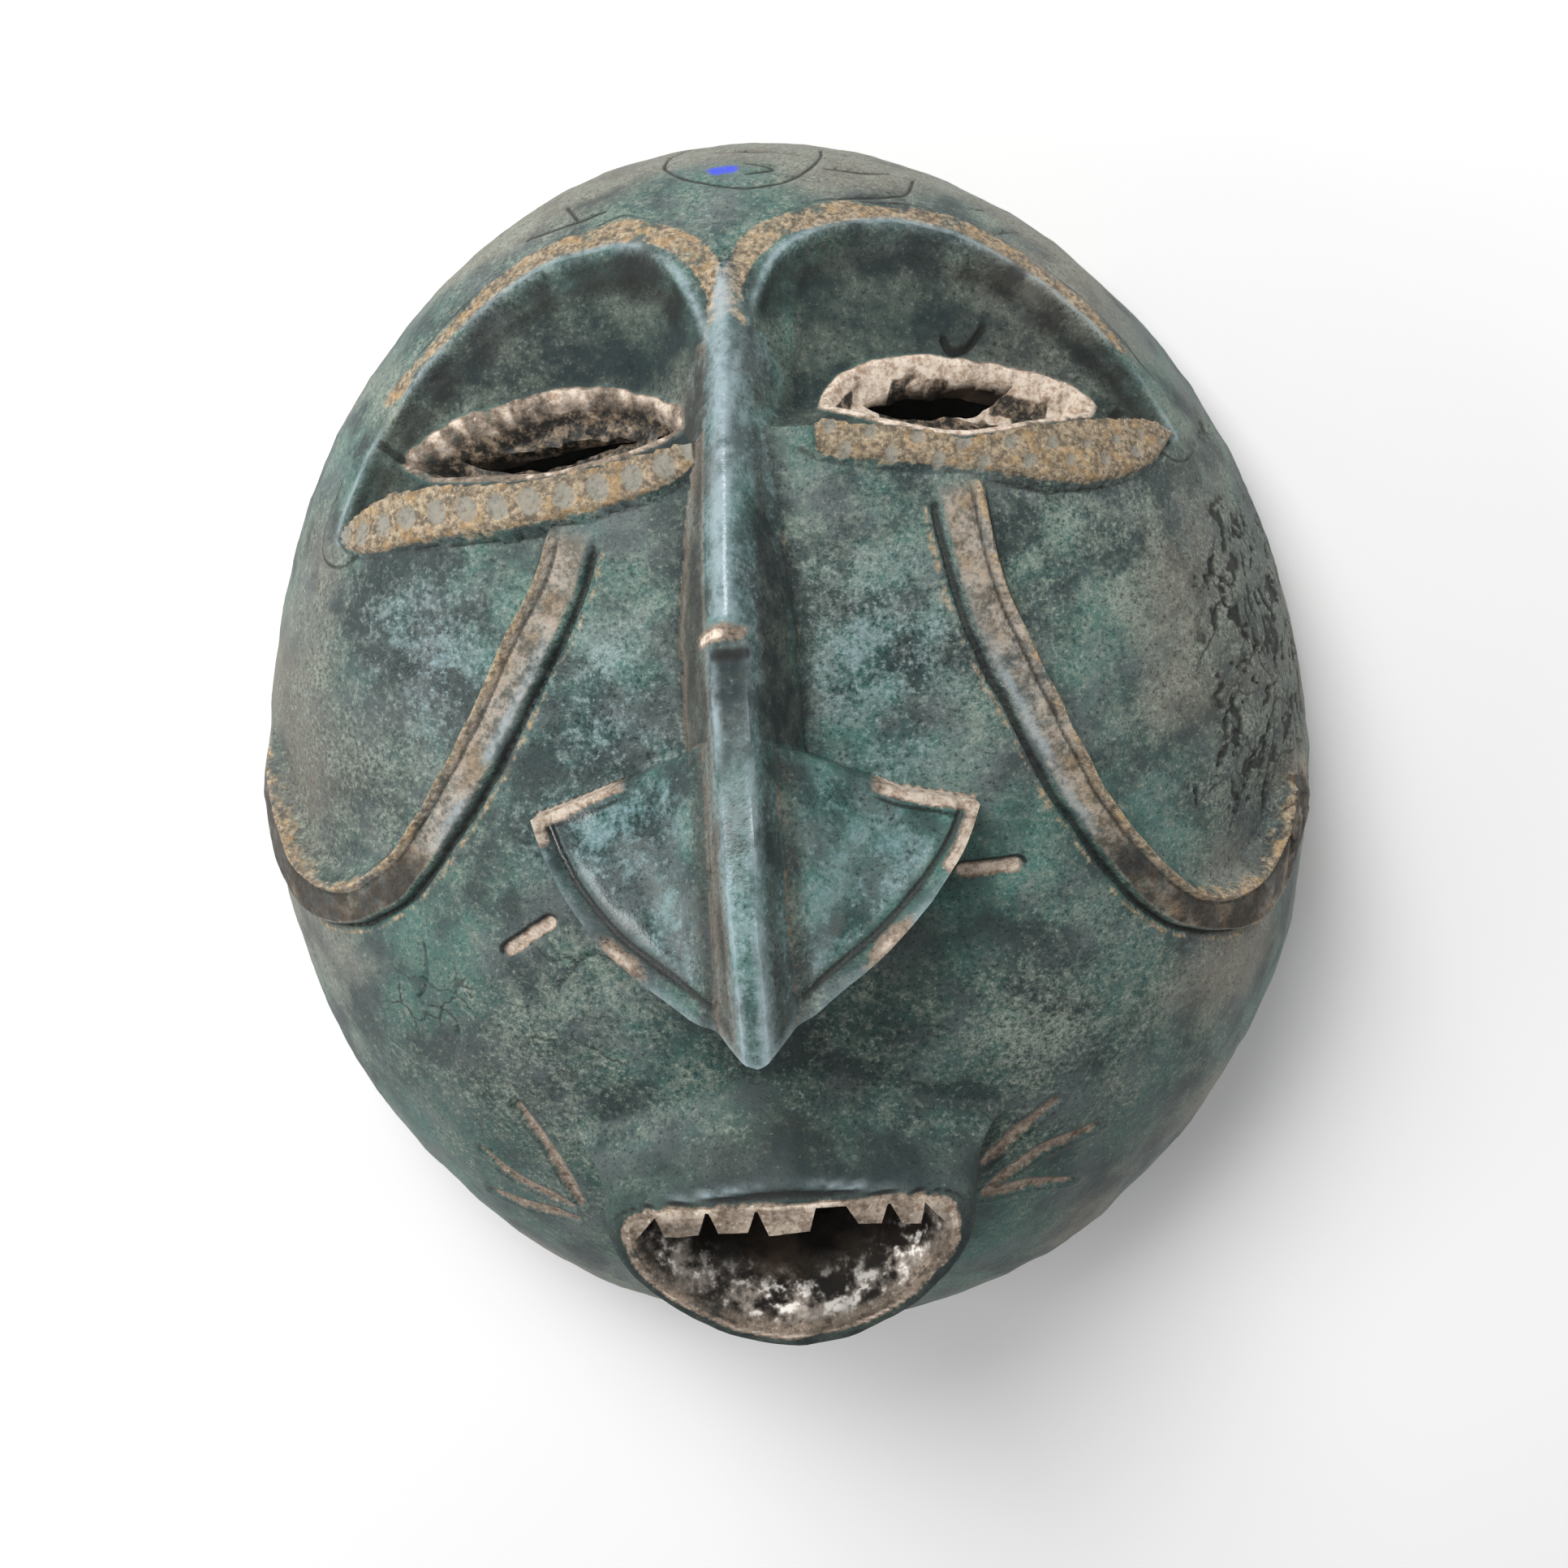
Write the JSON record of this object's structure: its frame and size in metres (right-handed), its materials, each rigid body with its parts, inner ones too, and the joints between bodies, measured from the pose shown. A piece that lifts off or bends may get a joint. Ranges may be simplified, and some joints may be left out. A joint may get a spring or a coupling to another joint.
{
  "type": "carved wooden face mask",
  "caption": "Oval carved wooden face mask with a long flared nose, scooped eye sockets, cheek bands and an open tube mouth, hollow behind.",
  "frame": {"origin": "centre of the back rim's box, on the plane that the rim rests on", "axes": "+Z out of the face, +Y to the forehead, +X to the right for someone who looks down on the face"},
  "size_m": [0.2488, 0.2828, 0.1411],
  "materials": {
    "patinated_wood": "dark teal-black patina, half-gloss where rubbed, with ochre pigment along the carved edges and bare tan wood at the eyes and lips"
  },
  "bodies": {
    "root": {"carved_mask": "patinated_wood"}
  },
  "joints": []
}
